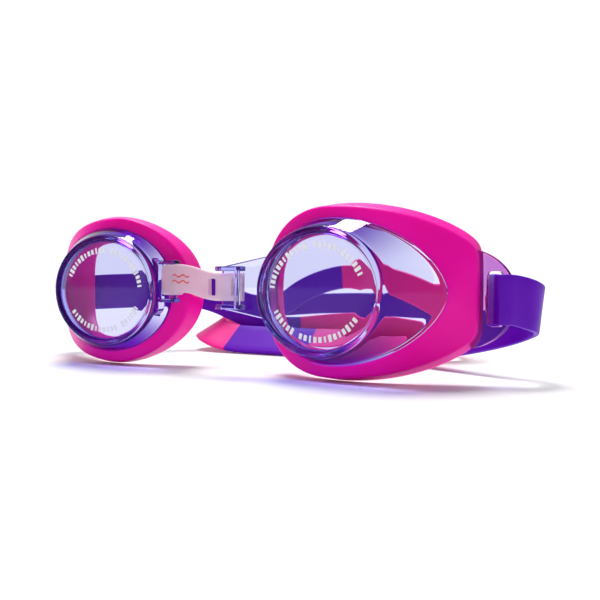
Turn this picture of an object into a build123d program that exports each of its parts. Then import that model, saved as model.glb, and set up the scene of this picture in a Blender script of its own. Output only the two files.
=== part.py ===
from build123d import *
import math
import os

# Swimming goggles for a young child, lying on a table with the head strap folded behind them.
# Millimetres. Left and right are as seen from in front of the lenses: +X points to the right cup,
# +Y back towards the head and +Z up. The seals and the strap rest on z = 0.

# ---- driving dimensions ------------------------------------------------------------------
LENS_HALF_WIDTH = 17.1
LENS_HALF_HEIGHT = 15.0
LENS_SPACING = 66.8
LENS_CENTRE_HEIGHT = 21.2
TOE_IN = 4.8
RIM_WIDTH = 1.1
RIM_HEIGHT = 0.5
LENS_THICKNESS = 1.7
WALL = 1.5
FILM_THICKNESS = 0.15
SEAL_GAP = 0.06
BLUNTING = 0.8
RING_POINTS = 40

STRAP_WIDTH = 11.5
STRAP_THICKNESS = 1.4
BAND_WIDTH = 7.4
BAND_GAP = 0.5
STRAP_STEP = 5.0

LUG_THICKNESS = 1.8
LUG_CENTRE_Z = -1.4
LUG_HALF_HEIGHT = 11.4
SLOT_WIDTH = 3.0
SLOT_HEIGHT = 12.6
SLOT_X = 33.8

BRIDGE_THICKNESS = 1.3
POST_X = -12.4
POST_Y = 4.9
POST_RADIUS = 1.1
POST_CLEARANCE = 0.05

POST_LOW = 18.0
POST_HIGH = 29.2
FORK_ARM = 1.0
BRIDGE_END = 11.4
LADDER_WINDOWS = (2.3, 9.2)
BOX_LEFT = 3.9
BOX_RIGHT = 11.2
BOX_CENTRE_Z = 22.0
BOX_HALF_HEIGHT = 5.4
RAIL = 1.2

# The whole object is moved by this much, so that the origin is under the middle of its box.
SHIFT_X = -1.24
SHIFT_Y = -46.25


# ---- closed outlines of one cup ------------------------------------------------------------
# Every outline is a lopsided oval in the cup's own frame, where x runs to the temple,
# y back and z up from the lens centre. It bends back with x as y = rise + tilt x + bend x^2.
# A blunt temple end is cut off softly at x = limit.
class Outline:
    def __init__(self, centre_x, nose, temple, height, temple_power, nose_power, rise, tilt, bend,
                 limit=50.0):
        self.centre_x = centre_x
        self.nose = nose
        self.temple = temple
        self.height = height
        self.temple_power = temple_power
        self.nose_power = nose_power
        self.rise = rise
        self.tilt = tilt
        self.bend = bend
        self.limit = limit

    def point(self, angle, grow=0.0, back=0.0):
        cosine = math.cos(angle)
        sine = math.sin(angle)
        side = self.temple if cosine > 0 else self.nose
        power = self.temple_power if cosine > 0 else self.nose_power
        x = self.centre_x + (side + grow) * cosine
        x = self.limit - BLUNTING * math.log1p(math.exp((self.limit - x) / BLUNTING))
        z = (self.height + grow) * math.copysign(abs(sine) ** power, sine)
        y = self.rise + self.tilt * x + self.bend * x * x + back
        return Vector(x, y, z)

    def edge(self, grow=0.0, back=0.0):
        points = []
        for i in range(RING_POINTS):
            points.append(self.point(2 * math.pi * i / RING_POINTS, grow, back))
        return Edge.make_spline(points, periodic=True)


def lens_oval(inset, y):
    return Outline(0, LENS_HALF_WIDTH - inset, LENS_HALF_WIDTH - inset,
                   LENS_HALF_HEIGHT - inset, 1.0, 1.0, y, 0, 0)


WALL_END = Outline(0.9, 18.6, 26.2, 17.4, 1.16, 0.90, 4.35, -0.014, 0.0110)
SEAL_FRONT = Outline(-0.4, 22.0, 35.0, 20.1, 0.86, 1.00, 4.8, 0.058, 0.0132, 31.3)
SEAL_REAR = Outline(2.7, 24.7, 31.6, 21.2, 0.80, 0.85, 9.88, -0.0186, 0.0151, 31.0)
SEAL_LIP = Outline(-0.35, 20.8, 20.95, 14.5, 0.88, 0.86, 9.5, 0.105, 0.0236)


def ring_faces(edges):
    return [Face.make_surface_from_curves(a, b) for a, b in zip(edges, edges[1:])]


def capped_solid(edges, flat_ring=None):
    """flat_ring is the number of the pair of edges that lies in one plane, if there is one."""
    faces = ring_faces(edges)
    if flat_ring is not None:
        inner, outer = edges[flat_ring], edges[flat_ring + 1]
        faces[flat_ring] = Face(Wire([outer]), [Wire([inner])])
    faces.append(Face(Wire([edges[0]])))
    faces.append(Face(Wire([edges[-1]])))
    return Solid(Shell(faces))


def ring_solid(edges):
    return Solid(Shell(ring_faces(edges + [edges[0]])))


# ---- flat bands ----------------------------------------------------------------------------
def interpolate(stations, values, u):
    for i in range(1, len(stations)):
        if u <= stations[i] or i == len(stations) - 1:
            share = (u - stations[i - 1]) / (stations[i] - stations[i - 1])
            return values[i - 1] + (values[i] - values[i - 1]) * min(share, 1.0)


class Band:
    """A flat band along a smooth path. lean is how far its upper edge tips to the right of travel."""

    def __init__(self, points, widths, leans, thickness=STRAP_THICKNESS):
        self.path = Edge.make_spline([Vector(*p) for p in points])
        self.widths = widths
        self.leans = leans
        self.thickness = thickness
        lengths = [0.0]
        for a, b in zip(points, points[1:]):
            lengths.append(lengths[-1] + math.dist(a, b))
        self.stations = [length / lengths[-1] for length in lengths]

    def corners(self, u):
        centre = self.path @ u
        along = self.path % u
        lean = math.radians(interpolate(self.stations, self.leans, u))
        right = along.cross(Vector(0, 0, 1)).normalized()
        across = Vector(0, 0, 1) * math.cos(lean) + right * math.sin(lean)
        across = (across - along * across.dot(along)).normalized()
        half_width = across * (interpolate(self.stations, self.widths, u) / 2)
        half_depth = along.cross(across) * (self.thickness / 2)
        return [centre - half_width - half_depth, centre + half_width - half_depth,
                centre + half_width + half_depth, centre - half_width + half_depth]

    def solid(self, start=0.0, stop=1.0):
        count = max(3, round(self.path.length * (stop - start) / STRAP_STEP) + 1)
        rows = [self.corners(start + (stop - start) * i / (count - 1)) for i in range(count)]
        edges = [Edge.make_spline([row[k] for row in rows]) for k in range(4)]
        faces = ring_faces(edges + [edges[0]])
        faces.append(Face(Wire.make_polygon(rows[0], close=True)))
        faces.append(Face(Wire.make_polygon(rows[-1], close=True)))
        return Solid(Shell(faces))


# ---- the clear cup -------------------------------------------------------------------------
def cup_shell():
    edges = [
        lens_oval(RIM_WIDTH + 0.3, RIM_HEIGHT).edge(),
        lens_oval(RIM_WIDTH, 0.0).edge(),
        lens_oval(0.0, 0.0).edge(),
        WALL_END.edge(grow=-SEAL_GAP),
        WALL_END.edge(grow=-SEAL_GAP, back=1.2),
        WALL_END.edge(grow=-WALL, back=1.2),
        lens_oval(WALL, RIM_HEIGHT + LENS_THICKNESS).edge(),
    ]
    return capped_solid(edges, flat_ring=1)


def cup_cavity():
    edges = [
        lens_oval(WALL, RIM_HEIGHT + LENS_THICKNESS).edge(),
        WALL_END.edge(grow=-WALL, back=1.2),
        Outline(0.9, 18.6, 26.2, 17.4, 1.16, 0.90, 40.0, 0, 0).edge(grow=-WALL),
    ]
    return capped_solid(edges)


def lug_plate(half_height, thickness):
    """A plate that leaves the back of the cup's wall, widens and runs back under the seal's face."""
    route = [(25.9, 11.6), (26.3, 15.2), (28.0, 18.9), (31.2, 21.5), (33.2, 23.1), (38.0, 27.6)]
    points = [(x, y, LUG_CENTRE_Z) for x, y in route]
    widths = [2 * half_height * share for share in (0.36, 0.40, 0.72, 1.0, 1.0, 1.0)]
    return Band(points, widths, [0] * len(points), thickness).solid()


def temple_lug():
    plate = lug_plate(LUG_HALF_HEIGHT, LUG_THICKNESS)
    tip = Pos(28.4, 0, LUG_CENTRE_Z) * Rot(90, 0, 0) * extrude(Ellipse(9.2, LUG_HALF_HEIGHT), 40, both=True)
    slot = Pos(SLOT_X, 20, LUG_CENTRE_Z) * Box(SLOT_WIDTH, 20, SLOT_HEIGHT)
    return (plate & tip) - slot


def place_cup(shape, side):
    """Puts a shape from the right cup's own frame on the table; side -1 mirrors it to the left."""
    placed = Pos(LENS_SPACING / 2, 0, LENS_CENTRE_HEIGHT) * Rot(0, 0, -TOE_IN) * shape
    return placed if side > 0 else mirror(placed, about=Plane.YZ)


def cup_point(x, y, z, side):
    turn = math.radians(TOE_IN)
    across = LENS_SPACING / 2 + x * math.cos(turn) + y * math.sin(turn)
    return (side * across, -x * math.sin(turn) + y * math.cos(turn), z + LENS_CENTRE_HEIGHT)


def box_between(low, high):
    size = [b - a for a, b in zip(low, high)]
    middle = [(a + b) / 2 for a, b in zip(low, high)]
    return Pos(*middle) * Box(*size)


def shoulder(side, narrow_x, half_narrow, half_wide, y_low, y_high):
    """A clear web that widens from the nose lug to the cup's wall."""
    middle = BOX_CENTRE_Z
    outline = Polyline((side * narrow_x, middle - half_narrow), (side * 19.5, middle - half_wide),
                       (side * 19.5, middle + half_wide), (side * narrow_x, middle + half_narrow), close=True)
    return Pos(0, y_high, 0) * Rot(90, 0, 0) * extrude(make_face(outline), y_high - y_low)


def right_nose_lug():
    """A box open at the front and the nose side, which the ladder end of the bridge slides in."""
    web = shoulder(1, BOX_LEFT, BOX_HALF_HEIGHT, 8.2, 4.4, 5.9)
    lug = web
    for end in (-1, 1):
        rail_z = BOX_CENTRE_Z + end * (BOX_HALF_HEIGHT - RAIL / 2)
        lug += box_between((BOX_LEFT, 1.4, rail_z - RAIL / 2), (BOX_RIGHT, 5.0, rail_z + RAIL / 2))
    lug += box_between((BOX_RIGHT - 1.4, 1.2, BOX_CENTRE_Z - BOX_HALF_HEIGHT),
                       (BOX_RIGHT, 2.3, BOX_CENTRE_Z + BOX_HALF_HEIGHT))
    return lug


def left_nose_lug():
    """A fork that holds the upright post, which the looped end of the bridge turns on."""
    lug = shoulder(-1, 16.2, 6.2, 8.2, 3.4, 5.9)
    for z in (POST_LOW, POST_HIGH - FORK_ARM):
        lug += box_between((-17.0, 3.4, z), (POST_X + 1.3, 6.4, z + FORK_ARM))
    lug += Pos(POST_X, POST_Y, (POST_LOW + POST_HIGH) / 2) * Cylinder(POST_RADIUS, POST_HIGH - POST_LOW)
    return lug


def lens_cup(side):
    cavity = cup_cavity()
    body = cup_shell() + (temple_lug() - cavity)
    nose = right_nose_lug() if side > 0 else left_nose_lug()
    return place_cup(body, side) + (nose - place_cup(cavity, side))


# ---- seal and film -------------------------------------------------------------------------
def seal(side):
    ring = ring_solid([
        WALL_END.edge(),
        SEAL_FRONT.edge(),
        SEAL_REAR.edge(),
        SEAL_LIP.edge(),
        WALL_END.edge(back=1.4),
    ])
    slit = lug_plate(LUG_HALF_HEIGHT + 0.2, LUG_THICKNESS + 0.3)
    return place_cup(ring - slit, side)


def film(side):
    oval = Ellipse(LENS_HALF_WIDTH - RIM_WIDTH - 0.6, LENS_HALF_HEIGHT - RIM_WIDTH - 0.6)
    disc = Rot(90, 0, 0) * extrude(oval, FILM_THICKNESS)
    return place_cup(Pos(0, RIM_HEIGHT - 0.02, 0) * disc, side)


# ---- nose bridge ---------------------------------------------------------------------------
def nose_bridge():
    hole_radius = POST_RADIUS + POST_CLEARANCE
    middle = hole_radius + BRIDGE_THICKNESS / 2
    front = POST_Y - middle
    back = POST_Y + middle
    start = POST_X + hole_radius + 0.1
    strip_points = [(start, front, 24.4), (-8, front, 24.4), (-4, front, 23.8), (0, front, 22.7),
                    (3.5, front, 22.2), (7.5, front, 22.2), (BRIDGE_END, front, 22.2)]
    strip = Band(strip_points, [7.6, 7.2, 7, 7, 7, 7, 7], [0] * 7, BRIDGE_THICKNESS).solid()
    tail_points = [(start, back - 0.1, 23.2), (-9.4, back - 0.3, 22.7), (-7.4, back - 0.8, 22.0)]
    tail = Band(tail_points, [7, 6.6, 6], [0] * 3, BRIDGE_THICKNESS).solid()
    bead = Pos(-0.5, 0.5, 0) * Cylinder(hole_radius + BRIDGE_THICKNESS + 0.5, 8.0)
    loop = bead - Cylinder(hole_radius, 10.0)
    bridge = strip + tail + Pos(POST_X, POST_Y, 24.0) * loop
    for x in LADDER_WINDOWS:
        bridge -= Pos(x, front, 22.2) * Box(2.2, 6, 4.4)
    return bridge


# ---- head strap ----------------------------------------------------------------------------
# One two-colour silicone strap. A single band leaves each temple lug, and in the middle two
# narrow bands run side by side. The loop is cut open beside each lug, where the cups move.
def lug_pass(side, turn, turn_leans):
    """The strap's end behind the lug, then out through the slot and over the outer bar."""
    start = [(31.0, 27.4, -1.5), (32.4, 25.4, -1.5), (34.0, 23.3, -1.5), (35.2, 22.1, -1.6),
             (36.6, 22.5, -1.6), (37.8, 24.2, -1.7)]
    points = [cup_point(*p, side) for p in start + turn]
    return Band(points, [STRAP_WIDTH] * len(points), [0] * len(start) + turn_leans)


RIGHT_TURN = [(39.3, 26.5, -2.2), (40.8, 28.9, -3.0), (41.3, 31.8, -3.7)]
LEFT_TURN = [(39.5, 26.8, -1.6), (39.9, 29.6, -1.4), (38.6, 32.3, -1.3), (36.0, 33.6, -1.2),
             (33.2, 33.7, -1.2)]

LEFT_ARM = Band(
    [(-68.4, 30.8, 20.0), (-64, 31.9, 20.2), (-59, 36.2, 20.5), (-55.5, 43, 20.7), (-51, 51, 20.6),
     (-44, 57, 20.0), (-36, 59.8, 17.6), (-28, 61, 14.4), (-21, 61.7, 12.7), (-16, 61.95, 12.3),
     (-14.3, 62, 12.3)],
    [STRAP_WIDTH] * 8 + [12.6, 14.8, 2 * BAND_WIDTH + BAND_GAP], [0] * 11)

RIGHT_ARM = Band(
    [(77.3, 29.1, 17.2), (77.1, 30.1, 17.0), (75.8, 32.4, 16.4), (72.8, 34.6, 15.2),
     (67.6, 36, 13.2), (58, 40, 10.3),
     (48, 44.5, 7.9), (38, 49, 6.2), (27, 52, 5.2), (15, 53.4, 4.7), (4, 53.6, 4.5), (-10, 53.3, 4.5),
     (-22, 52.9, 4.6), (-31, 53.2, 5.4), (-38.4, 56, 7.2), (-41.4, 61.8, 7.9), (-39, 69, 9.2),
     (-34, 75, 10.4), (-28.6, 79.4, 11.0), (-27, 80.6, 11.0)],
    [STRAP_WIDTH] * 17 + [12.6, 14.8, 2 * BAND_WIDTH + BAND_GAP],
    [9, 9, 9, 11, 15, 22, 32, 40, 45, 48, 48, 48, 48, 50, 58, 58, 46, 24, 2, 0])

UPPER_BAND = Band(
    [(-14, 62, 16.25), (-12.4, 62, 16.35), (-8, 62.2, 18.8), (-2, 62.4, 22.1), (6, 62.4, 24.6),
     (13, 62.1, 25.3), (20, 61.7, 24.0), (28, 60.9, 22.0), (35, 60.6, 19.6), (41.5, 61.4, 17.2),
     (46.6, 64.4, 15.9), (48.8, 70, 15.6), (46.2, 76.6, 15.9), (39.5, 82.5, 16.5), (29, 87.5, 17),
     (17, 91.4, 16.6), (5, 93.2, 16.2), (-8, 91.4, 15.9),
     (-18, 86.9, 15.4), (-25.1, 82.1, 14.95), (-26.7, 80.9, 14.95)],
    [BAND_WIDTH] * 21, [0] * 21)

LOWER_BAND = Band(
    [(-14, 62, 8.35), (-12.4, 62, 8.3), (-7, 62.4, 8.3), (0, 63, 9), (8, 63.4, 9.8),
     (16, 63.2, 10.2), (26, 62.1, 10),
     (36, 61.2, 9.4), (43.4, 63.6, 8.6), (46.2, 69.2, 7.8), (43.5, 75.5, 7), (36, 81.4, 6),
     (26, 85.8, 5.2), (15, 88.8, 4.8), (4, 90.1, 4.6), (-8, 88.6, 5), (-18, 85.2, 6),
     (-25.1, 82.1, 7.05), (-26.7, 80.9, 7.05)],
    [BAND_WIDTH] * 19, [0] * 19)


def strap_pieces():
    """Each colour of the strap is its own moulded stretch: start and stop are shares of its length."""
    stretches = {
        "strap_left_arm_purple": (LEFT_ARM, 0.0, 1.0),
        "strap_upper_band_purple_near": (UPPER_BAND, 0.0, 0.165),
        "strap_upper_band_pink": (UPPER_BAND, 0.165, 0.50),
        "strap_upper_band_purple_far": (UPPER_BAND, 0.50, 1.0),
        "strap_lower_band_purple": (LOWER_BAND, 0.0, 0.06),
        "strap_lower_band_pink": (LOWER_BAND, 0.06, 1.0),
        "strap_right_arm_purple": (RIGHT_ARM, 0.0, 0.235),
        "strap_right_arm_pink": (RIGHT_ARM, 0.235, 0.525),
        "strap_right_arm_purple_middle": (RIGHT_ARM, 0.525, 0.72),
        "strap_right_arm_pink_fold": (RIGHT_ARM, 0.72, 1.0),
    }
    pieces = {name: band.solid(start, stop) for name, (band, start, stop) in stretches.items()}
    pieces["strap_left_lug_pass"] = lug_pass(-1, LEFT_TURN, [0] * len(LEFT_TURN)).solid()
    pieces["strap_right_lug_pass"] = lug_pass(1, RIGHT_TURN, [2, 6, 9]).solid()
    return pieces


# ---- all the pieces -------------------------------------------------------------------------
def all_pieces():
    pieces = {"nose_bridge": nose_bridge()}
    for name, side in (("left", -1), ("right", 1)):
        pieces[name + "_lens_cup"] = lens_cup(side)
        pieces[name + "_seal"] = seal(side)
        pieces[name + "_lens_film"] = film(side)
    pieces.update(strap_pieces())
    return pieces


os.makedirs("parts", exist_ok=True)
for node, shape in all_pieces().items():
    export_step(Pos(SHIFT_X, SHIFT_Y, 0) * shape, "parts/" + node + ".step")
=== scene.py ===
import math

import bmesh
import bpy
import numpy as np
from mathutils import Matrix, Vector


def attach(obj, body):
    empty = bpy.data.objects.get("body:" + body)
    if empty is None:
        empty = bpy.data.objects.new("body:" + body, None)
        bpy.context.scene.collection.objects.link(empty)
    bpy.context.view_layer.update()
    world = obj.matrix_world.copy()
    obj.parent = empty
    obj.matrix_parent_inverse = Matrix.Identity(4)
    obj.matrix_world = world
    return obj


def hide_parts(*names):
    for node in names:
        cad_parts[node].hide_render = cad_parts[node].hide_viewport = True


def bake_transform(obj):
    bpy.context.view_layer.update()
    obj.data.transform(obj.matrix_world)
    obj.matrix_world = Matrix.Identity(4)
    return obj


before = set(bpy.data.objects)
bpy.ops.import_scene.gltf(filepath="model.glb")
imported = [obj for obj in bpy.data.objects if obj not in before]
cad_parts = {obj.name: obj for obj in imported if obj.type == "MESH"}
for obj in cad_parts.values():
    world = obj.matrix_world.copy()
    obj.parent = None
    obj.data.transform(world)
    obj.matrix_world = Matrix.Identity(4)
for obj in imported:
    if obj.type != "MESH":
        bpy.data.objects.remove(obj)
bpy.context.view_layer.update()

# Child's swimming goggles: the visual model around the CAD part. Lengths are in millimetres in the
# part's own frame before it is centred; to_metres() centres them and turns them into metres.

MM = 0.001
SHIFT = np.array([-1.24, -46.25, 0.0])
TOE_IN = math.radians(4.8)
LENS_CENTRE = (33.4, 21.2)
LENS_HALF_WIDTH = 17.1
LENS_HALF_HEIGHT = 15.0
ROUND = 160
BLUNTING = 0.8
NEARLY_CLOSED = 0.02
ANGLES = np.linspace(0, 2 * math.pi, ROUND, endpoint=False)
UP = np.array([0.0, 0.0, 1.0])


def to_metres(points):
    return (np.asarray(points, float) + SHIFT) * MM


def cup_to_part(points, side):
    """From a cup's own frame (x to the temple, y back, z up from the lens centre) to the part's frame."""
    p = np.asarray(points, float)
    x, y, z = p[..., 0], p[..., 1], p[..., 2]
    across = LENS_CENTRE[0] + x * math.cos(TOE_IN) + y * math.sin(TOE_IN)
    back = -x * math.sin(TOE_IN) + y * math.cos(TOE_IN)
    return np.stack([side * across, back, z + LENS_CENTRE[1]], -1)


# ---- materials ---------------------------------------------------------------------------------
def new_material(name):
    material = bpy.data.materials.new(name)
    material.use_nodes = True
    nodes = material.node_tree.nodes
    shader = nodes["Principled BSDF"]
    return material, nodes, material.node_tree.links, shader


def noise_node(nodes, links, scale, detail=3.0):
    where = nodes.new("ShaderNodeTexCoord")
    noise = nodes.new("ShaderNodeTexNoise")
    noise.inputs["Scale"].default_value = scale
    noise.inputs["Detail"].default_value = detail
    links.new(where.outputs["Object"], noise.inputs["Vector"])
    return noise


def ramp_node(nodes, links, source, low, high, start=0.3, stop=0.7):
    ramp = nodes.new("ShaderNodeValToRGB")
    ramp.color_ramp.elements[0].position = start
    ramp.color_ramp.elements[1].position = stop
    ramp.color_ramp.elements[0].color = (*low, 1)
    ramp.color_ramp.elements[1].color = (*high, 1)
    links.new(source, ramp.inputs["Fac"])
    return ramp


def range_node(nodes, links, source, low, high):
    span = nodes.new("ShaderNodeMapRange")
    span.inputs["From Min"].default_value = 0.3
    span.inputs["From Max"].default_value = 0.7
    span.inputs["To Min"].default_value = low
    span.inputs["To Max"].default_value = high
    links.new(source, span.inputs["Value"])
    return span


def bump_node(nodes, links, source, shader, strength, depth):
    bump = nodes.new("ShaderNodeBump")
    bump.inputs["Strength"].default_value = strength
    bump.inputs["Distance"].default_value = depth
    links.new(source, bump.inputs["Height"])
    links.new(bump.outputs["Normal"], shader.inputs["Normal"])


def rubber(name, low, high, roughness, specular, glow, glow_radius):
    """A soft moulded rubber: a faint drift of colour, an uneven satin and a very fine grain."""
    material, nodes, links, shader = new_material(name)
    drift = noise_node(nodes, links, 60.0)
    ramp = ramp_node(nodes, links, drift.outputs["Fac"], low, high)
    links.new(ramp.outputs["Color"], shader.inputs["Base Color"])
    satin = noise_node(nodes, links, 240.0)
    span = range_node(nodes, links, satin.outputs["Fac"], roughness - 0.04, roughness + 0.05)
    links.new(span.outputs["Result"], shader.inputs["Roughness"])
    shader.inputs["Specular IOR Level"].default_value = specular
    shader.inputs["Subsurface Weight"].default_value = glow
    shader.inputs["Subsurface Radius"].default_value = glow_radius
    shader.inputs["Subsurface Scale"].default_value = 0.001
    fine = noise_node(nodes, links, 900.0, 2.0)
    bump_node(nodes, links, fine.outputs["Fac"], shader, 0.06, 0.0001)
    return material


def clear_plastic(name, tint, roughness, ior, shadow_tint, inner_tint=None):
    """Clear plastic. Light passes straight through it to what is behind, which stays bright."""
    material, nodes, links, shader = new_material(name)
    haze = noise_node(nodes, links, 90.0)
    ramp = ramp_node(nodes, links, haze.outputs["Fac"], tint, [min(1.0, c * 1.02) for c in tint])
    links.new(ramp.outputs["Color"], shader.inputs["Base Color"])
    if inner_tint:
        # painted reflection: the top and the bottom of the wall, which look along its length, are painted a
        # deeper violet in place of the purple strap and pink seal reflected in them
        facing = nodes.new("ShaderNodeNewGeometry")
        parts = nodes.new("ShaderNodeSeparateXYZ")
        links.new(facing.outputs["Normal"], parts.inputs["Vector"])
        steep = nodes.new("ShaderNodeMath")
        steep.operation = "ABSOLUTE"
        links.new(parts.outputs["Z"], steep.inputs[0])
        share = nodes.new("ShaderNodeMapRange")
        share.interpolation_type = "SMOOTHSTEP"
        share.inputs["From Min"].default_value = 0.30
        share.inputs["From Max"].default_value = 0.85
        links.new(steep.outputs["Value"], share.inputs["Value"])
        painted_violet = nodes.new("ShaderNodeMix")
        painted_violet.data_type = "RGBA"
        links.new(share.outputs["Result"], painted_violet.inputs["Factor"])
        links.new(ramp.outputs["Color"], painted_violet.inputs[6])
        painted_violet.inputs[7].default_value = (0.14, 0.01, 0.45, 1)
        # painted glow: the lugs at the temples are painted pink in place of the pink light that the seal
        # beside them shines into them
        where = nodes.new("ShaderNodeTexCoord")
        place = nodes.new("ShaderNodeSeparateXYZ")
        links.new(where.outputs["Object"], place.inputs["Vector"])
        outwards = nodes.new("ShaderNodeMath")
        outwards.operation = "ABSOLUTE"
        links.new(place.outputs["X"], outwards.inputs[0])
        glow = nodes.new("ShaderNodeMapRange")
        glow.inputs["From Min"].default_value = 0.060
        glow.inputs["From Max"].default_value = 0.066
        links.new(outwards.outputs["Value"], glow.inputs["Value"])
        painted_pink_glow = nodes.new("ShaderNodeMix")
        painted_pink_glow.data_type = "RGBA"
        links.new(glow.outputs["Result"], painted_pink_glow.inputs["Factor"])
        links.new(painted_violet.outputs[2], painted_pink_glow.inputs[6])
        painted_pink_glow.inputs[7].default_value = (0.72, 0.26, 0.66, 1)
        links.new(painted_pink_glow.outputs[2], shader.inputs["Base Color"])
    span = range_node(nodes, links, haze.outputs["Fac"], roughness, roughness + 0.02)
    links.new(span.outputs["Result"], shader.inputs["Roughness"])
    shader.inputs["IOR"].default_value = ior
    shader.inputs["Transmission Weight"].default_value = 1.0
    shader.inputs["Specular Tint"].default_value = (0.28, 0.22, 0.45, 1)
    see_through = nodes.new("ShaderNodeBsdfTransparent")
    see_through.inputs["Color"].default_value = (*shadow_tint, 1)
    path = nodes.new("ShaderNodeLightPath")
    mix = nodes.new("ShaderNodeMixShader")
    links.new(path.outputs["Is Shadow Ray"], mix.inputs["Fac"])
    links.new(shader.outputs["BSDF"], mix.inputs[1])
    links.new(see_through.outputs["BSDF"], mix.inputs[2])
    links.new(mix.outputs["Shader"], nodes["Material Output"].inputs["Surface"])
    if inner_tint:
        inside = nodes.new("ShaderNodeVolumeAbsorption")
        inside.inputs["Color"].default_value = (*inner_tint, 1)
        inside.inputs["Density"].default_value = 200.0
        links.new(inside.outputs["Volume"], nodes["Material Output"].inputs["Volume"])
    return material


def frosted_plastic(name):
    material, nodes, links, shader = new_material(name)
    cloud = noise_node(nodes, links, 150.0)
    ramp = ramp_node(nodes, links, cloud.outputs["Fac"], (0.95, 0.71, 0.83), (0.99, 0.80, 0.90))
    links.new(ramp.outputs["Color"], shader.inputs["Base Color"])
    span = range_node(nodes, links, cloud.outputs["Fac"], 0.38, 0.46)
    links.new(span.outputs["Result"], shader.inputs["Roughness"])
    shader.inputs["IOR"].default_value = 1.45
    shader.inputs["Transmission Weight"].default_value = 0.6
    shader.inputs["Subsurface Weight"].default_value = 0.5
    shader.inputs["Subsurface Radius"].default_value = (1.6, 1.2, 1.4)
    shader.inputs["Subsurface Scale"].default_value = 0.001
    fine = noise_node(nodes, links, 1400.0, 2.0)
    bump_node(nodes, links, fine.outputs["Fac"], shader, 0.08, 0.0001)
    return material


def print_ink(name, low, high):
    material, nodes, links, shader = new_material(name)
    wear = noise_node(nodes, links, 1500.0)
    ramp = ramp_node(nodes, links, wear.outputs["Fac"], low, high)
    links.new(ramp.outputs["Color"], shader.inputs["Base Color"])
    span = range_node(nodes, links, wear.outputs["Fac"], 0.45, 0.6)
    links.new(span.outputs["Result"], shader.inputs["Roughness"])
    return material


def table_surface(name):
    material, nodes, links, shader = new_material(name)
    mottle = noise_node(nodes, links, 8.0)
    ramp = ramp_node(nodes, links, mottle.outputs["Fac"], (0.79, 0.79, 0.80), (0.82, 0.82, 0.83))
    links.new(ramp.outputs["Color"], shader.inputs["Base Color"])
    span = range_node(nodes, links, mottle.outputs["Fac"], 0.30, 0.38)
    links.new(span.outputs["Result"], shader.inputs["Roughness"])
    shader.inputs["Specular IOR Level"].default_value = 0.02
    return material


PINK_SEAL = rubber("seal_pink", (0.94, 0.0, 0.38), (1.0, 0.001, 0.43), 0.34, 0.14, 0.40, (2.6, 0.2, 1.6))
PURPLE = rubber("strap_purple", (0.115, 0.001, 0.46), (0.14, 0.003, 0.52), 0.36, 0.16, 0.10, (0.6, 0.1, 1.0))
PINK_STRAP = rubber("strap_pink", (0.95, 0.015, 0.28), (1.0, 0.025, 0.33), 0.38, 0.28, 0.15, (1.6, 0.2, 0.8))
CLEAR = clear_plastic("clear_plastic", (0.88, 0.88, 0.98), 0.0, 1.50, (0.95, 0.94, 0.99), (0.12, 0.13, 0.86))
FILM = clear_plastic("film", (0.97, 0.97, 0.99), 0.03, 1.30, (0.96, 0.96, 0.98))
FROSTED = frosted_plastic("frosted_bridge")
WHITE_INK = print_ink("white_ink", (0.92, 0.92, 0.95), (0.98, 0.98, 1.0))
CORAL_INK = print_ink("coral_ink", (0.80, 0.08, 0.10), (0.86, 0.12, 0.13))


# ---- meshes --------------------------------------------------------------------------------------
def add_mesh(name, points, faces, material):
    mesh = bpy.data.meshes.new(name)
    mesh.from_pydata([tuple(p) for p in to_metres(points)], [], faces)
    mesh.materials.append(material)
    made = bpy.data.objects.new(name, mesh)
    bpy.context.scene.collection.objects.link(made)
    tidy_mesh(made)
    return made


def tidy_mesh(made, sharp=32.0):
    """Faces point outwards, and edges sharper than sharp degrees are shaded as edges."""
    work = bmesh.new()
    work.from_mesh(made.data)
    bmesh.ops.remove_doubles(work, verts=work.verts, dist=1e-7)
    bmesh.ops.dissolve_degenerate(work, dist=1e-8, edges=work.edges)
    bmesh.ops.recalc_face_normals(work, faces=work.faces)
    for face in work.faces:
        face.smooth = True
    for edge in work.edges:
        if len(edge.link_faces) == 2:
            edge.smooth = edge.calc_face_angle(0.0) < math.radians(sharp)
    work.to_mesh(made.data)
    work.free()


def ring_mesh(name, rings, material, closed=False):
    """Quads between rings of points. An open stack of rings is closed with a face at each end."""
    rings = [np.asarray(r, float) for r in rings]
    count = len(rings[0])
    points = np.concatenate(rings)
    faces = []
    pairs = len(rings) if closed else len(rings) - 1
    for i in range(pairs):
        a, b = i * count, ((i + 1) % len(rings)) * count
        for j in range(count):
            k = (j + 1) % count
            faces.append((a + j, a + k, b + k, b + j))
    if not closed:
        faces.append(tuple(range(count)))
        last = (len(rings) - 1) * count
        faces.append(tuple(last + j for j in reversed(range(count))))
    return add_mesh(name, points, faces, material)


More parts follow.
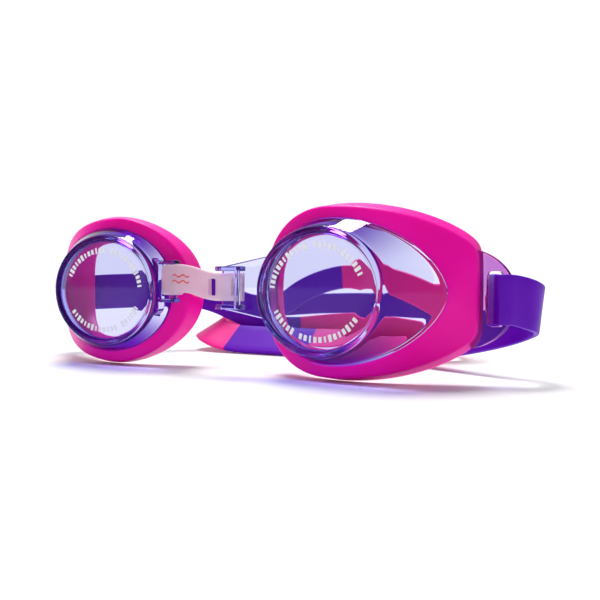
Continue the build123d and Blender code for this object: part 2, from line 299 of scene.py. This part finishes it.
def rounded(keys, radii, closed, bulges=None, arc=5, straight=5):
    """Runs a profile through key rings, with each corner rounded and each side bulged by its own amount."""
    keys = [np.asarray(k, float) for k in keys]
    count = len(keys)
    bulges = bulges or [0.0] * count

    def direction(a, b):
        d = b - a
        length = np.linalg.norm(d, axis=1, keepdims=True)
        return d / np.maximum(length, 1e-9), length

    starts, ends, arcs = [], [], []
    for i in range(count):
        cur = keys[i]
        if not closed and i in (0, count - 1):
            starts.append(cur)
            ends.append(cur)
            arcs.append([cur])
            continue
        before, gap_before = direction(cur, keys[i - 1])
        after, gap_after = direction(cur, keys[(i + 1) % count])
        a = cur + before * np.minimum(radii[i], 0.45 * gap_before)
        b = cur + after * np.minimum(radii[i], 0.45 * gap_after)
        starts.append(a)
        ends.append(b)
        steps = np.linspace(0, 1, arc + 1)
        arcs.append([(1 - t) ** 2 * a + 2 * t * (1 - t) * cur + t * t * b for t in steps])
    rings = []
    for i in range(count):
        rings.extend(arcs[i])
        if not closed and i == count - 1:
            break
        a, b = ends[i], starts[(i + 1) % count]
        along, _ = direction(a, b)
        middle = (a + b) / 2
        around = np.roll(middle, -1, axis=0) - np.roll(middle, 1, axis=0)
        normal = np.cross(around, along)
        normal /= np.maximum(np.linalg.norm(normal, axis=1, keepdims=True), 1e-9)
        for step in range(1, straight + 1):
            t = step / (straight + 1)
            rings.append(a + (b - a) * t + normal * (bulges[i] * 4 * t * (1 - t)))
    return rings


def unite(base, others, operation="UNION"):
    for other in others:
        change = base.modifiers.new("join", "BOOLEAN")
        change.operation = operation
        change.solver = "EXACT"
        change.object = other
    graph = bpy.context.evaluated_depsgraph_get()
    mesh = bpy.data.meshes.new_from_object(base.evaluated_get(graph))
    base.modifiers.clear()
    base.data = mesh
    for other in others:
        bpy.data.objects.remove(other)
    tidy_mesh(base)
    return base


def plate(name, outline, low, high, material, soft=0.25):
    """A flat plate in the X-Z plane with rounded edges, from y = low to y = high."""
    outline = np.array(outline)
    middle = outline.mean(axis=0)

    def level(y, share=1.0):
        flat = middle + (outline - middle) * share
        return np.stack([flat[:, 0], np.full(len(flat), y), flat[:, 1]], -1)

    keys = [level(low, NEARLY_CLOSED), level(low), level(high), level(high, NEARLY_CLOSED)]
    return ring_mesh(name, rounded(keys, [0, soft, soft, 0], closed=False, arc=4, straight=2), material)


def block(name, low, high, material, soft=0.25):
    """A box with rounded edges."""
    work = bmesh.new()
    bmesh.ops.create_cube(work, size=1.0)
    size = Vector(high) - Vector(low)
    middle = (Vector(high) + Vector(low)) / 2
    for v in work.verts:
        v.co = Vector(middle[k] + v.co[k] * size[k] for k in range(3))
    bmesh.ops.bevel(work, geom=list(work.edges), offset=soft, segments=3, profile=0.5, affect="EDGES")
    work.verts.ensure_lookup_table()
    points = [tuple(v.co) for v in work.verts]
    faces = [tuple(v.index for v in f.verts) for f in work.faces]
    work.free()
    return add_mesh(name, points, faces, material)


def rounded_loop(corners, radius, steps=5):
    """A closed outline whose corners are rounded."""
    corners = [np.array(c, float) for c in corners]
    loop = []
    for i, cur in enumerate(corners):
        before, after = corners[i - 1] - cur, corners[(i + 1) % len(corners)] - cur
        r = radius[i] if isinstance(radius, (list, tuple)) else radius
        a = cur + before * min(r / np.linalg.norm(before), 0.49)
        b = cur + after * min(r / np.linalg.norm(after), 0.49)
        for t in np.linspace(0, 1, steps + 1):
            loop.append(tuple((1 - t) ** 2 * a + 2 * t * (1 - t) * cur + t * t * b))
    return loop


# ---- outlines of a cup ----------------------------------------------------------------------------
class Outline:
    """A lopsided oval in the cup's own frame, bent back with x as y = rise + tilt x + bend x squared.
    A blunt temple end is cut off softly at x = limit."""

    def __init__(self, centre_x, nose, temple, height, temple_power, nose_power, rise, tilt, bend,
                 limit=50.0):
        self.values = (centre_x, nose, temple, height, temple_power, nose_power, rise, tilt, bend, limit)

    def ring(self, grow=0.0, back=0.0):
        centre_x, nose, temple, height, temple_power, nose_power, rise, tilt, bend, limit = self.values
        cosine, sine = np.cos(ANGLES), np.sin(ANGLES)
        side = np.where(cosine > 0, temple, nose)
        power = np.where(cosine > 0, temple_power, nose_power)
        x = centre_x + (side + grow) * cosine
        x = limit - BLUNTING * np.log1p(np.exp((limit - x) / BLUNTING))
        z = (height + grow) * np.sign(sine) * np.abs(sine) ** power
        y = rise + tilt * x + bend * x * x + back
        return np.stack([x, y, z], -1)


def lens_oval(inset, y):
    x = (LENS_HALF_WIDTH - inset) * np.cos(ANGLES)
    z = (LENS_HALF_HEIGHT - inset) * np.sin(ANGLES)
    return np.stack([x, np.full_like(x, y), z], -1)


WALL_END = Outline(0.9, 18.6, 26.2, 17.4, 1.16, 0.90, 4.35, -0.014, 0.0110)
SEAL_FRONT = Outline(-0.4, 22.0, 35.0, 20.1, 0.86, 1.00, 4.8, 0.058, 0.0132, 31.3)
SEAL_REAR = Outline(2.7, 24.7, 31.6, 21.2, 0.80, 0.85, 9.88, -0.0186, 0.0151, 31.0)
SEAL_LIP = Outline(-0.35, 20.8, 20.95, 14.5, 0.88, 0.86, 9.5, 0.105, 0.0236)


def cup_shell(side):
    keys = [
        lens_oval(0, 0.5) * [NEARLY_CLOSED, 1, NEARLY_CLOSED],
        lens_oval(1.4, 0.5),
        lens_oval(1.1, 0.0),
        lens_oval(0.0, 0.0),
        WALL_END.ring(grow=-0.06),
        WALL_END.ring(grow=-0.06, back=1.2),
        WALL_END.ring(grow=-1.5, back=1.2),
        lens_oval(1.5, 2.2),
        lens_oval(0, 2.2) * [NEARLY_CLOSED, 1, NEARLY_CLOSED],
    ]
    radii = [0, 0.2, 0.3, 0.45, 0.3, 0.4, 0.4, 1.8, 0]
    rings = rounded(keys, radii, closed=False)
    return ring_mesh("cup_shell", [cup_to_part(r, side) for r in rings], CLEAR)


# ---- temple lug -----------------------------------------------------------------------------------
LUG_ROUTE = np.array([(25.9, 11.6), (26.3, 15.2), (28.0, 18.9), (31.2, 21.5), (33.2, 23.1), (38.0, 27.6)])
LUG_MIDDLE = -1.4
LUG_HALF_HEIGHT = 11.4
LUG_HALF_THICKNESS = 0.9
LUG_ROOT_X = 26.1
SLOT_X = 33.8
SLOT_HALF_WIDTH, SLOT_HALF_HEIGHT = 1.5, 6.3


def natural_spline(points):
    """A smooth curve through the points, as a dense table of positions against the share of its length."""
    p = np.asarray(points, float)
    gaps = np.linalg.norm(np.diff(p, axis=0), axis=1)
    n = len(p)
    rows = np.eye(n)
    right = np.zeros_like(p)
    for i in range(1, n - 1):
        rows[i, i - 1], rows[i, i], rows[i, i + 1] = gaps[i - 1], 2 * (gaps[i - 1] + gaps[i]), gaps[i]
        right[i] = 6 * ((p[i + 1] - p[i]) / gaps[i] - (p[i] - p[i - 1]) / gaps[i - 1])
    bend = np.linalg.solve(rows, right)
    out = []
    for i in range(n - 1):
        for t in np.linspace(0, 1, 40, endpoint=(i == n - 2)):
            a, b = 1 - t, t
            out.append(a * p[i] + b * p[i + 1]
                       + ((a ** 3 - a) * bend[i] + (b ** 3 - b) * bend[i + 1]) * gaps[i] ** 2 / 6)
    out = np.array(out)
    lengths = np.concatenate([[0], np.cumsum(np.linalg.norm(np.diff(out, axis=0), axis=1))])
    return out, lengths / lengths[-1], lengths[-1]


def temple_lug(side):
    """A curved plate with an upright slot, rounded at its edges, mapped from a flat drawing of it."""
    path, _, _ = natural_spline(LUG_ROUTE)
    angles = np.linspace(0, 2 * math.pi, 120, endpoint=False)
    outer, slot = [], []
    for angle in angles:
        dx, dz = math.cos(angle), math.sin(angle)
        # the outline: an ellipse, tapered on the left to a narrow root at LUG_ROOT_X
        cx, rx, rz = 28.4, 9.2, LUG_HALF_HEIGHT
        a = dx * dx / rx ** 2 + dz * dz / rz ** 2
        b = 2 * (SLOT_X - cx) * dx / rx ** 2
        c = (SLOT_X - cx) ** 2 / rx ** 2 - 1
        reach = (-b + math.sqrt(b * b - 4 * a * c)) / (2 * a)
        if dx < -1e-6:
            reach = min(reach, (LUG_ROOT_X - SLOT_X) / dx, 20.5 / (abs(dz) - 2.12 * dx))
        outer.append((SLOT_X + reach * dx, reach * dz))
        # the slot: an oblong with rounded corners
        power = 6.0
        hole = (abs(dx / SLOT_HALF_WIDTH) ** power + abs(dz / SLOT_HALF_HEIGHT) ** power) ** (-1 / power)
        slot.append((SLOT_X + hole * dx, hole * dz))
    outer, slot = np.array(outer), np.array(slot)

    def level(loop, depth):
        return np.stack([loop[:, 0], np.full(len(loop), depth), loop[:, 1]], -1)

    low, high = -LUG_HALF_THICKNESS, LUG_HALF_THICKNESS
    keys = [level(slot, low), level(outer, low), level(outer, high), level(slot, high)]
    rings = rounded(keys, [0.35, 0.4, 0.4, 0.35], closed=True, arc=4, straight=6)
    slope = np.gradient(path[:, 1], path[:, 0])
    placed = []
    for ring in rings:
        base = np.interp(ring[:, 0], path[:, 0], path[:, 1])
        tilt = np.interp(ring[:, 0], path[:, 0], slope)
        length = np.sqrt(1 + tilt ** 2)
        x = ring[:, 0] - ring[:, 1] * tilt / length
        y = base + ring[:, 1] / length
        placed.append(cup_to_part(np.stack([x, y, ring[:, 2] + LUG_MIDDLE], -1), side))
    return ring_mesh("temple_lug", placed, CLEAR, closed=True)


# ---- nose lugs ------------------------------------------------------------------------------------
POST = (-12.4, 4.9)
POST_RADIUS = 1.1
POST_LOW, POST_HIGH = 18.0, 29.2
FORK_ARM = 1.0
BOX_LEFT, BOX_RIGHT, BOX_MIDDLE, BOX_HALF = 3.9, 11.2, 22.0, 5.4


def shoulder(name, side, narrow_x, half_narrow, half_wide, low, high):
    corners = [(side * narrow_x, BOX_MIDDLE - half_narrow), (side * 18.6, BOX_MIDDLE - half_wide),
               (side * 18.6, BOX_MIDDLE + half_wide), (side * narrow_x, BOX_MIDDLE + half_narrow)]
    return plate(name, rounded_loop(corners, [1.2, 0.2, 0.2, 1.2]), low, high, CLEAR, 0.3)


def right_nose_lug():
    parts = [shoulder("web", 1, BOX_LEFT, BOX_HALF, 8.0, 4.4, 5.9)]
    for end in (-1, 1):
        z = BOX_MIDDLE + end * (BOX_HALF - 0.6)
        parts.append(block("rail", (BOX_LEFT, 1.4, z - 0.6), (BOX_RIGHT, 5.2, z + 0.6), CLEAR, 0.3))
    parts.append(block("bar", (BOX_RIGHT - 1.4, 1.2, BOX_MIDDLE - BOX_HALF),
                       (BOX_RIGHT, 2.3, BOX_MIDDLE + BOX_HALF), CLEAR, 0.3))
    return parts


def post():
    rings = []
    tip = POST_RADIUS - 0.3
    for z, radius in ((POST_LOW, tip), (POST_LOW + 0.3, POST_RADIUS), (POST_HIGH - 0.3, POST_RADIUS),
                      (POST_HIGH, tip)):
        angles = np.linspace(0, 2 * math.pi, 32, endpoint=False)
        rings.append(np.stack([POST[0] + radius * np.cos(angles), POST[1] + radius * np.sin(angles),
                               np.full(32, z)], -1))
    return ring_mesh("post", rings, CLEAR)


def left_nose_lug():
    parts = [shoulder("web", -1, 16.2, 6.2, 8.0, 3.4, 5.9)]
    for z in (POST_LOW, POST_HIGH - FORK_ARM):
        parts.append(block("fork", (-17.0, 3.4, z), (POST[0] + 1.3, 6.4, z + FORK_ARM), CLEAR, 0.3))
    parts.append(post())
    return parts


# ---- seal -----------------------------------------------------------------------------------------
def seal(name, side):
    keys = [
        WALL_END.ring(grow=-0.1),
        SEAL_FRONT.ring(),
        SEAL_REAR.ring(),
        SEAL_LIP.ring(),
        WALL_END.ring(grow=-0.1, back=1.4),
    ]
    rings = rounded(keys, [0.25, 0.7, 1.1, 0.8, 0.3], closed=True)
    return ring_mesh(name, [cup_to_part(r, side) for r in rings], PINK_SEAL, closed=True)


# ---- film and its print -----------------------------------------------------------------------------
FILM_INSET = 1.7
FILM_FRONT, FILM_BACK = 0.33, 0.48


def film(name, side):
    centre = [NEARLY_CLOSED, 1, NEARLY_CLOSED]
    keys = [lens_oval(0, FILM_FRONT) * centre, lens_oval(FILM_INSET, FILM_FRONT),
            lens_oval(FILM_INSET, FILM_BACK), lens_oval(0, FILM_BACK) * centre]
    rings = rounded(keys, [0, 0.05, 0.05, 0], closed=False, arc=2, straight=3)
    return ring_mesh(name, [cup_to_part(r, side) for r in rings], FILM)


def film_print(name, side):
    """Two arcs of plain white dashes."""
    points, faces = [], []

    def dash(angle, radius, half_long, half_tall):
        start = len(points)
        corners = rounded_loop([(-half_long, -half_tall), (half_long, -half_tall),
                                (half_long, half_tall), (-half_long, half_tall)], 0.12, 3)
        cx, cz = LENS_HALF_WIDTH * radius * math.cos(angle), LENS_HALF_HEIGHT * radius * math.sin(angle)
        turn = math.atan2(LENS_HALF_HEIGHT * math.cos(angle), -LENS_HALF_WIDTH * math.sin(angle))
        for y in (0.27, 0.34):
            for u, v in corners:
                x = cx + u * math.cos(turn) - v * math.sin(turn)
                z = cz + u * math.sin(turn) + v * math.cos(turn)
                points.append((x, y, z))
        n = len(corners)
        faces.append(tuple(start + i for i in range(n)))
        faces.append(tuple(start + n + i for i in reversed(range(n))))
        for i in range(n):
            j = (i + 1) % n
            faces.append((start + i, start + j, start + n + j, start + n + i))

    for low, high, count, gap in ((22, 174, 25, 12), (206, 326, 20, 6)):
        for k in range(count):
            angle = math.radians(low + (high - low) * k / (count - 1))
            if k != gap:
                dash(angle, 0.73, 0.42 if k % 3 else 0.26, 0.85 if k % 4 == 1 else 0.68)
    return add_mesh(name, cup_to_part(points, side), faces, WHITE_INK)


# ---- nose bridge ------------------------------------------------------------------------------------
BRIDGE_FRONT = POST[1] - 1.8
BRIDGE_HALF = 0.65
LOOP_LOW, LOOP_HIGH = 20.0, 28.0
LOOP_INNER, LOOP_OUTER, LOOP_OFFSET = 1.15, 2.95, 0.5
LADDER_WINDOWS = (2.3, 9.2)


def nose_bridge():
    # the strip's left end is rounded off above and below
    points = [(-12.0, 24.3), (-11.5, 24.4), (-10.6, 24.4), (-9.2, 24.4), (-4, 23.8), (0, 22.7), (3.5, 22.2),
              (7.5, 22.2), (11.4, 22.2)]
    path = [(x, BRIDGE_FRONT, z) for x, z in points]
    widths = [5.4, 6.6, 7.4, 7.5, 7, 7, 7, 7, 7]
    strip = band("nose_bridge_strip", path, widths, [0] * 9, FROSTED, thick=1.3, soft=0.4)
    tail_path = [(-11.2, POST[1] + 1.6, 23.9), (-9.4, POST[1] + 1.45, 23.8), (-7.5, POST[1] + 1.0, 23.6)]
    tail = band("tail", tail_path, [6.0, 5.8, 5.2], [0] * 3, FROSTED, thick=1.2, soft=0.3, step=0.4)
    angles = np.linspace(0, 2 * math.pi, 48, endpoint=False)

    def circle(radius, z, off=0.0):
        return np.stack([POST[0] - off + radius * np.cos(angles), POST[1] + off + radius * np.sin(angles),
                         np.full(48, z)], -1)

    keys = [circle(LOOP_INNER, LOOP_LOW), circle(LOOP_OUTER, LOOP_LOW, LOOP_OFFSET),
            circle(LOOP_OUTER, LOOP_HIGH, LOOP_OFFSET), circle(LOOP_INNER, LOOP_HIGH)]
    loop = ring_mesh("loop", rounded(keys, [0.2, 1.4, 1.4, 0.2], closed=True, arc=4, straight=3), FROSTED,
                     closed=True)
    windows = []
    for x in LADDER_WINDOWS:
        windows.append(block("window", (x - 1.1, BRIDGE_FRONT - 2, 20.0), (x + 1.1, BRIDGE_FRONT + 2, 24.4),
                             FROSTED, 0.4))
    return unite(unite(strip, [loop, tail]), windows, "DIFFERENCE")


def bridge_mark():
    """A plain pair of wave lines where the real bridge carries a name."""
    parts = []
    for z0 in (25.1, 23.6):
        xs = np.linspace(-10.6, -5.0, 60)
        centre = z0 - 0.02 * (xs + 10.6) + 0.28 * np.sin((xs + 10.6) * 2.25)
        half = 0.16 + 0.05 * np.sin((xs + 10.6) / 5.6 * math.pi)
        loop = [(x, c - h) for x, c, h in zip(xs, centre, half)]
        loop += [(x, c + h) for x, c, h in zip(xs[::-1], centre[::-1], half[::-1])]
        parts.append(loop)
    points, faces = [], []
    front = BRIDGE_FRONT - BRIDGE_HALF
    for loop in parts:
        start, n = len(points), len(loop)
        for y in (front - 0.04, front + 0.05):
            points.extend((x, y, z) for x, z in loop)
        for i in range(n):
            j = (i + 1) % n
            faces.append((start + i, start + j, start + n + j, start + n + i))
        half = n // 2
        for i in range(half - 1):
            j = n - 1 - i
            faces.append((start + i, start + i + 1, start + j - 1, start + j))
            faces.append((start + n + j, start + n + j - 1, start + n + i + 1, start + n + i))
    return add_mesh("bridge_mark", points, faces, CORAL_INK)


# ---- head strap ---------------------------------------------------------------------------------------
def smooth_values(values, span):
    kernel = np.hanning(span + 2)[1:-1]
    kernel /= kernel.sum()
    padded = np.concatenate([np.full(span, values[0]), values, np.full(span, values[-1])])
    return np.convolve(padded, kernel, mode="same")[span:-span]


def section(width, thick, soft):
    """A flat oblong with rounded edges: (across, deep) pairs round it."""
    hw, hd = width / 2, thick / 2
    loop = []
    for cx, cd, start in ((hw - soft, hd - soft, 0), (-hw + soft, hd - soft, 90),
                          (-hw + soft, -hd + soft, 180), (hw - soft, -hd + soft, 270)):
        for k in range(5):
            a = math.radians(start + 22.5 * k)
            loop.append((cx + soft * math.cos(a), cd + soft * math.sin(a)))
        if start in (0, 180):
            sign = 1 if start == 0 else -1
            for share in (0.6, 0.2, -0.2, -0.6):
                loop.append((sign * share * (hw - soft), sign * hd))
    return loop


def path_stations(points):
    """Each point's share of the way along the straight runs between the points."""
    stations = np.concatenate([[0], np.cumsum([math.dist(a, b) for a, b in zip(points, points[1:])])])
    return stations / stations[-1]


def band(name, points, widths, leans, material, start=0.0, stop=1.0, step=0.7, thick=1.4, soft=0.42):
    """A flat band along a smooth path. lean is how far its upper edge tips to the right of travel."""
    path, shares, length = natural_spline(points)
    stations = path_stations(points)
    picks = np.linspace(start, stop, max(4, int(length * (stop - start) / step)))
    fine = np.linspace(0, 1, 600)
    wide = smooth_values(np.interp(fine, stations, widths), 21)
    tips = smooth_values(np.interp(fine, stations, leans), 31)
    along_fine = np.gradient(path, axis=0)
    rings = []
    for u in picks:
        centre = np.array([np.interp(u, shares, path[:, k]) for k in range(3)])
        along = np.array([np.interp(u, shares, along_fine[:, k]) for k in range(3)])
        along /= np.linalg.norm(along)
        lean = math.radians(np.interp(u, fine, tips))
        right = np.cross(along, UP)
        right /= np.linalg.norm(right)
        across = UP * math.cos(lean) + right * math.sin(lean)
        across -= along * across.dot(along)
        across /= np.linalg.norm(across)
        deep = np.cross(along, across)
        rings.append([centre + across * a + deep * d
                      for a, d in section(np.interp(u, fine, wide), thick, soft)])
    return ring_mesh(name, rings, material)


LUG_START = [(31.0, 27.4, -1.5), (32.4, 25.4, -1.5), (34.0, 23.3, -1.5), (35.2, 22.1, -1.6),
             (36.6, 22.5, -1.6), (37.8, 24.2, -1.7)]
RIGHT_TURN = [(39.3, 26.5, -2.2), (40.8, 28.9, -3.0)]
LEFT_TURN = [(39.5, 26.8, -1.6), (39.9, 29.6, -1.4), (38.6, 32.3, -1.3), (36.0, 33.6, -1.2)]
LEFT_ARM = [(-68.4, 30.8, 20.0), (-64, 31.9, 20.2), (-59, 36.2, 20.5), (-55.5, 43, 20.7), (-51, 51, 20.6),
            (-44, 57, 20.0), (-36, 59.8, 17.6), (-28, 61, 14.4), (-21, 61.7, 12.7), (-16, 61.95, 12.3),
            (-14.3, 62, 12.3)]
RIGHT_ARM = [(77.3, 29.1, 17.2), (77.1, 30.1, 17.0), (75.8, 32.4, 16.4), (72.8, 34.6, 15.2), (67.6, 36, 13.2),
             (58, 40, 10.3), (48, 44.5, 7.9), (38, 49, 6.2), (27, 52, 5.2), (15, 53.4, 4.7), (4, 53.6, 4.5),
             (-10, 53.3, 4.5), (-22, 52.9, 4.6), (-31, 53.2, 5.4), (-38.4, 56, 7.2), (-41.4, 61.8, 7.9),
             (-39, 69, 9.2), (-34, 75, 10.4), (-28.6, 79.4, 11.0), (-27, 80.6, 11.0)]
RIGHT_LEANS = [9, 9, 9, 11, 15, 22, 32, 40, 45, 48, 48, 48, 48, 50, 58, 58, 46, 24, 2, 0]
UPPER_BAND = [(-14, 62, 16.25), (-12.4, 62, 16.35), (-8, 62.2, 18.8), (-2, 62.4, 22.1), (6, 62.4, 24.6),
              (13, 62.1, 25.3), (20, 61.7, 24.0), (28, 60.9, 22.0), (35, 60.6, 19.6), (41.5, 61.4, 17.2),
              (46.6, 64.4, 15.9), (48.8, 70, 15.6), (46.2, 76.6, 15.9), (39.5, 82.5, 16.5), (29, 87.5, 17),
              (17, 91.4, 16.6), (5, 93.2, 16.2), (-8, 91.4, 15.9), (-18, 86.9, 15.4), (-25.1, 82.1, 14.95),
              (-26.7, 80.9, 14.95)]
LOWER_BAND = [(-14, 62, 8.35), (-12.4, 62, 8.3), (-7, 62.4, 8.3), (0, 63, 9), (8, 63.4, 9.8),
              (16, 63.2, 10.2), (26, 62.1, 10), (36, 61.2, 9.4), (43.4, 63.6, 8.6), (46.2, 69.2, 7.8),
              (43.5, 75.5, 7), (36, 81.4, 6), (26, 85.8, 5.2), (15, 88.8, 4.8), (4, 90.1, 4.6),
              (-8, 88.6, 5), (-18, 85.2, 6), (-25.1, 82.1, 7.05), (-26.7, 80.9, 7.05)]
WIDE = 11.5
BAND_WIDTH = 7.4
JOIN_WIDTHS = [12.6, 14.8, 15.3]
RIGHT_COLOUR_CHANGE = 0.235


def left_end():
    points = [tuple(p) for p in cup_to_part(LUG_START + LEFT_TURN, -1)] + LEFT_ARM
    widths = [WIDE] * (len(points) - 3) + JOIN_WIDTHS
    return band("strap_left_end", points, widths, [0] * len(points), PURPLE)


def right_end(stop_share):
    """The lug pass and the arm's purple stretch, up to stop_share of the arm."""
    path, shares, _ = natural_spline(RIGHT_ARM)
    arm = []
    for u in np.linspace(0.02, stop_share, 12):
        arm.append(tuple(np.interp(u, shares, path[:, k]) for k in range(3)))
    stations = path_stations(RIGHT_ARM)
    arm_leans = list(np.interp(np.linspace(0.02, stop_share, 12), stations, RIGHT_LEANS))
    start = [tuple(p) for p in cup_to_part(LUG_START + RIGHT_TURN, 1)]
    points = start + arm
    return band("strap_right_end", points, [WIDE] * len(points), [0] * len(start) + arm_leans, PURPLE)


# ---- all the pieces ---------------------------------------------------------------------------------
def settle(made, body, slot, *nodes):
    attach(made, body)
    if nodes:
        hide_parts(*nodes)


for word, side in (("left", -1), ("right", 1)):
    body = word + "_cup"
    lug = left_nose_lug() if side < 0 else right_nose_lug()
    cup = unite(cup_shell(side), [temple_lug(side)] + lug)
    cup.name = word + "_clear_cup"
    settle(cup, body, "clear_plastic", word + "_lens_cup")
    settle(seal(word + "_soft_seal", side), body, "pink_seal", word + "_seal")
    settle(film(word + "_film", side), body, "film", word + "_lens_film")
    settle(film_print(word + "_film_dashes", side), body, None)

settle(nose_bridge(), "root", "frosted_bridge", "nose_bridge")
settle(bridge_mark(), "root", None)

RIGHT_WIDTHS = [WIDE] * 17 + JOIN_WIDTHS
stretches = [
    ("upper_purple_near", UPPER_BAND, 0.0, 0.165, PURPLE, "strap_upper_band_purple_near"),
    ("upper_pink", UPPER_BAND, 0.165, 0.50, PINK_STRAP, "strap_upper_band_pink"),
    ("upper_purple_far", UPPER_BAND, 0.50, 1.0, PURPLE, "strap_upper_band_purple_far"),
    ("lower_purple", LOWER_BAND, 0.0, 0.06, PURPLE, "strap_lower_band_purple"),
    ("lower_pink", LOWER_BAND, 0.06, 1.0, PINK_STRAP, "strap_lower_band_pink"),
    ("right_pink", RIGHT_ARM, RIGHT_COLOUR_CHANGE, 0.525, PINK_STRAP, "strap_right_arm_pink"),
    ("right_purple_middle", RIGHT_ARM, 0.525, 0.72, PURPLE, "strap_right_arm_purple_middle"),
    ("right_pink_fold", RIGHT_ARM, 0.72, 1.0, PINK_STRAP, "strap_right_arm_pink_fold"),
]
for word, points, start, stop, material, node in stretches:
    if points is RIGHT_ARM:
        widths, leans = RIGHT_WIDTHS, RIGHT_LEANS
    else:
        widths, leans = [BAND_WIDTH] * len(points), [0] * len(points)
    made = band("strap_" + word, points, widths, leans, material, start, stop)
    settle(made, "root", "pink_strap" if material is PINK_STRAP else "purple_strap", node)

left_strap = left_end()
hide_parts("strap_left_lug_pass", "strap_left_arm_purple")
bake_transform(left_strap)

right_strap = right_end(RIGHT_COLOUR_CHANGE)
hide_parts("strap_right_lug_pass", "strap_right_arm_purple")
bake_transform(right_strap)

# ---- floor, light and camera --------------------------------------------------------------------------
floor_points, floor_faces = [], []
SPAN, CELLS = 3000.0, 12
for i in range(CELLS + 1):
    for j in range(CELLS + 1):
        floor_points.append((-SPAN + 2 * SPAN * i / CELLS, -SPAN + 2 * SPAN * j / CELLS, 0.0))
for i in range(CELLS):
    for j in range(CELLS):
        a = i * (CELLS + 1) + j
        floor_faces.append((a, a + CELLS + 1, a + CELLS + 2, a + 1))
floor = add_mesh("floor", floor_points, floor_faces, table_surface("table_white"))

world = bpy.data.worlds.new("studio")
bpy.context.scene.world = world
world.use_nodes = True
world_nodes, world_links = world.node_tree.nodes, world.node_tree.links
# a white studio behind the goggles, which falls off to a dim room on the camera's side
direction = world_nodes.new("ShaderNodeTexCoord")
ahead = world_nodes.new("ShaderNodeVectorMath")
ahead.operation = "DOT_PRODUCT"
ahead.inputs[1].default_value = (-0.498, 0.867, 0.0)
world_links.new(direction.outputs["Generated"], ahead.inputs[0])
falloff = world_nodes.new("ShaderNodeValToRGB")
for stop, (place, tone) in zip((0, 1), ((0.40, 0.36), (0.84, 1.0))):
    falloff.color_ramp.elements[stop].position = place
    falloff.color_ramp.elements[stop].color = (tone, tone, tone, 1)
world_links.new(ahead.outputs["Value"], falloff.inputs["Fac"])
world_links.new(falloff.outputs["Color"], world_nodes["Background"].inputs["Color"])
world_nodes["Background"].inputs["Strength"].default_value = 1.05


sun = bpy.data.lights.new("broad_light", "SUN")
sun.energy = 3.7
sun.angle = math.radians(26)
holder = bpy.data.objects.new("broad_light", sun)
holder.rotation_mode = "QUATERNION"
holder.rotation_quaternion = Vector((0.26, -0.24, -1.0)).to_track_quat("-Z", "Y")
bpy.context.scene.collection.objects.link(holder)

bpy.context.scene.view_settings.view_transform = "Standard"

pitch, yaw, roll = math.radians(1.353), math.radians(29.84), math.radians(0.18)
forward = Vector((-math.sin(yaw) * math.cos(pitch), math.cos(yaw) * math.cos(pitch), -math.sin(pitch)))
right = forward.cross(Vector((0, 0, 1))).normalized()
up = right.cross(forward)
right, up = right * math.cos(roll) + up * math.sin(roll), up * math.cos(roll) - right * math.sin(roll)
camera_data = bpy.data.cameras.new("camera")
camera_data.lens = 42.0
camera_data.sensor_width = 36.0
camera_data.clip_start = 0.01
camera = bpy.data.objects.new("camera", camera_data)
place = Vector(to_metres((109.944, -140.329, 23.16)))
camera.matrix_world = Matrix(((right.x, up.x, -forward.x, place.x), (right.y, up.y, -forward.y, place.y),
                              (right.z, up.z, -forward.z, place.z), (0, 0, 0, 1)))
bpy.context.scene.collection.objects.link(camera)
bpy.context.scene.camera = camera
